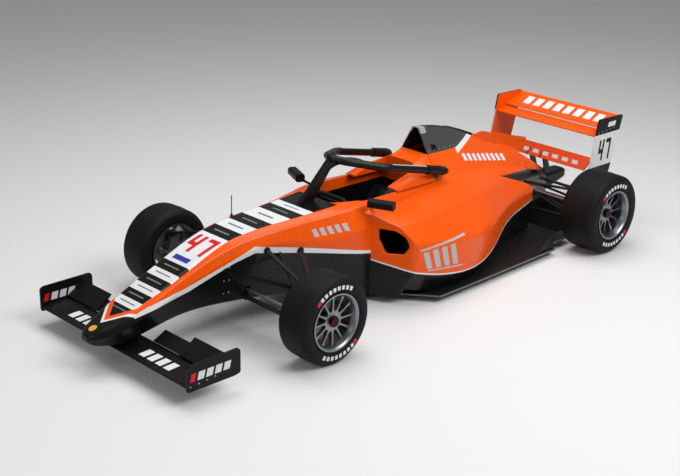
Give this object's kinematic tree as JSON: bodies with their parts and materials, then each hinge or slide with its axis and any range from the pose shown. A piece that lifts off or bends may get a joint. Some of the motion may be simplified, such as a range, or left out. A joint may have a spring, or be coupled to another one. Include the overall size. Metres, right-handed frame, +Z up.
{
  "type": "open wheel racing car",
  "caption": "Single-seat open wheel racing car with halo, roll hoop intake, sidepods, front and rear wings, exposed suspension and slick tyres; wheels spin and the front pair steers.",
  "frame": {"origin": "on the ground under the middle of the car's length and width", "axes": "+X forward along the car, +Y to the driver's left, +Z up"},
  "size_m": [4.4354, 1.7308, 0.965],
  "materials": {
    "orange_paint": "gloss orange paint with black and white bands",
    "black_carbon": "satin black carbon composite",
    "matte_black": "matt black",
    "wood_plank": "pressed wood skid plank",
    "cast_alloy": "cast light alloy",
    "engine_metal": "plain engine block",
    "radiator_alloy": "radiator core",
    "arm_steel": "black painted steel tube",
    "hub_steel": "machined steel",
    "rim_grey": "satin grey alloy",
    "tyre_rubber": "slick racing tyre",
    "mirror_glass": "mirror glass",
    "red_lens": "red lamp lens",
    "seat_fabric": "black seat cover"
  },
  "bodies": {
    "chassis": {"monocoque": "orange_paint", "nose_cone": "orange_paint", "cockpit_surround": "orange_paint", "engine_cover": "orange_paint", "sidepod_left": "orange_paint", "sidepod_right": "orange_paint", "roll_hoop_cowl": "black_carbon", "halo": "matte_black", "seat": "seat_fabric", "radiators": "radiator_alloy", "floor": "black_carbon", "skid_plank": "wood_plank", "diffuser": "black_carbon", "engine_block": "engine_metal", "gearbox": "cast_alloy", "crash_structure": "black_carbon", "rain_light": "red_lens", "front_wing_mainplane": "black_carbon", "front_wing_flaps": "black_carbon", "front_wing_endplates": "black_carbon", "rear_wing_mainplane": "black_carbon", "rear_wing_flap": "black_carbon", "rear_wing_beam": "orange_paint", "rear_wing_endplates": "black_carbon", "mirror_housings": "black_carbon", "mirror_glasses": "mirror_glass", "radio_antenna": "matte_black", "front_wishbones": "arm_steel", "front_pushrods": "arm_steel", "rear_wishbones": "arm_steel", "rear_pushrods": "arm_steel", "rear_uprights": "cast_alloy", "steering_column": "hub_steel"},
    "steering_wheel": {"steering_wheel": "matte_black"},
    "steering_rack": {"steering_rack": "hub_steel"},
    "front_left_knuckle": {"front_left_upright": "cast_alloy"},
    "front_left_wheel": {"front_left_tyre": "tyre_rubber", "front_left_rim": "rim_grey", "front_left_hub": "hub_steel"},
    "rear_left_wheel": {"rear_left_tyre": "tyre_rubber", "rear_left_rim": "rim_grey", "rear_left_hub": "hub_steel"},
    "front_right_knuckle": {"front_right_upright": "cast_alloy"},
    "front_right_wheel": {"front_right_tyre": "tyre_rubber", "front_right_rim": "rim_grey", "front_right_hub": "hub_steel"},
    "rear_right_wheel": {"rear_right_tyre": "tyre_rubber", "rear_right_rim": "rim_grey", "rear_right_hub": "hub_steel"}
  },
  "joints": [
    {"name": "steer_left", "type": "hinge", "parent": "chassis", "child": "front_left_knuckle", "pos_m": [1.0825, 0.672, 0.27], "axis": [0, 0, 1], "range_deg": [-18, 18]},
    {"name": "front_left_spin", "type": "hinge", "parent": "front_left_knuckle", "child": "front_left_wheel", "pos_m": [1.0825, 0.7485, 0.27], "axis": [0, 1, 0], "continuous": true},
    {"name": "rear_left_spin", "type": "hinge", "parent": "chassis", "child": "rear_left_wheel", "pos_m": [-1.6675, 0.7105, 0.2875], "axis": [0, 1, 0], "continuous": true},
    {"name": "steer_right", "type": "hinge", "parent": "chassis", "child": "front_right_knuckle", "pos_m": [1.0825, -0.672, 0.27], "axis": [0, 0, 1], "range_deg": [-18, 18]},
    {"name": "front_right_spin", "type": "hinge", "parent": "front_right_knuckle", "child": "front_right_wheel", "pos_m": [1.0825, -0.7485, 0.27], "axis": [0, 1, 0], "continuous": true},
    {"name": "rear_right_spin", "type": "hinge", "parent": "chassis", "child": "rear_right_wheel", "pos_m": [-1.6675, -0.7105, 0.2875], "axis": [0, 1, 0], "continuous": true},
    {"name": "rack_slide", "type": "slide", "parent": "chassis", "child": "steering_rack", "axis": [0, 1, 0], "range_m": [-0.02936, 0.02936]},
    {"name": "steering_wheel_turn", "type": "hinge", "parent": "chassis", "child": "steering_wheel", "pos_m": [0.2825, 0, 0.565], "axis": [-0.9397, 0, 0.342], "range_deg": [-150, 150]}
  ],
  "couplings": [
    {"joint": "steer_right", "follows": "steer_left", "ratio": 1},
    {"joint": "rack_slide", "follows": "steer_left", "m_per_rad": 0.093436},
    {"joint": "steering_wheel_turn", "follows": "steer_left", "ratio": 8.3325}
  ]
}
